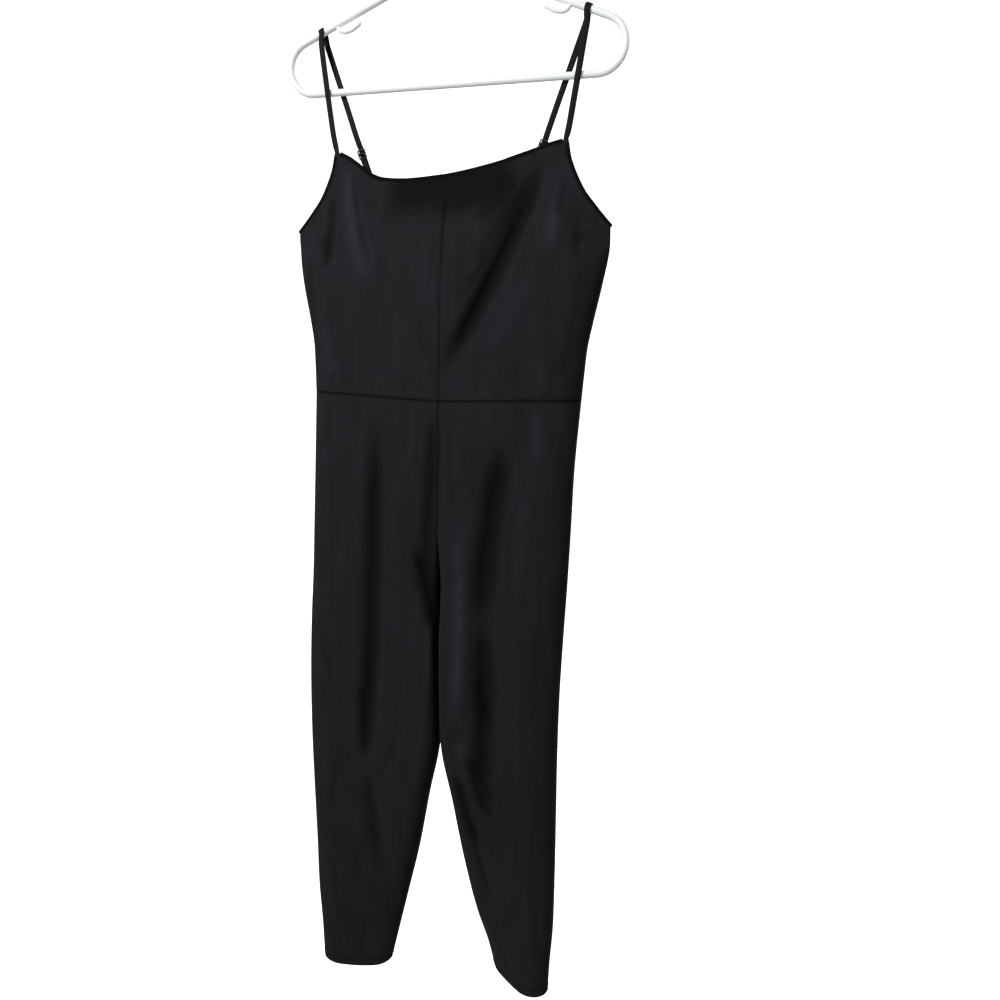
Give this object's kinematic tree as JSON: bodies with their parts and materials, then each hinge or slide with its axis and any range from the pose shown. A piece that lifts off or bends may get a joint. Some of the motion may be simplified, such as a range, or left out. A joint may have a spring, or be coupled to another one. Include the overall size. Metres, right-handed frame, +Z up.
{
  "type": "jumpsuit on a hanger",
  "caption": "Camisole jumpsuit in plain stretch knit with thin adjustable straps and long narrow legs, hung by its straps on a tubular hanger.",
  "frame": {"origin": "the inner top of the hanger's hook, where it hangs on a rod", "axes": "+Z up along the hanging garment, -Y the way its front faces, +X the wearer's left"},
  "size_m": [0.4398, 0.0972, 1.5042],
  "materials": {
    "stretch_knit": "matte",
    "binding_tape": "matte",
    "slider_plastic": "satin",
    "hanger_plastic": "satin"
  },
  "bodies": {
    "root": {"bodice_front_right": "stretch_knit", "bodice_front_left": "stretch_knit", "bodice_back": "stretch_knit", "leg_front_right": "stretch_knit", "leg_front_left": "stretch_knit", "leg_back_right": "stretch_knit", "leg_back_left": "stretch_knit", "neck_binding_front": "binding_tape", "neck_binding_back": "binding_tape", "armhole_binding_right": "binding_tape", "armhole_binding_left": "binding_tape", "strap_right": "binding_tape", "strap_left": "binding_tape", "strap_tab_right": "binding_tape", "strap_tab_left": "binding_tape", "slider_right": "slider_plastic", "slider_left": "slider_plastic", "hanger_frame": "hanger_plastic", "hanger_hook": "hanger_plastic", "strap_hook_right": "hanger_plastic", "strap_hook_left": "hanger_plastic"}
  },
  "joints": []
}
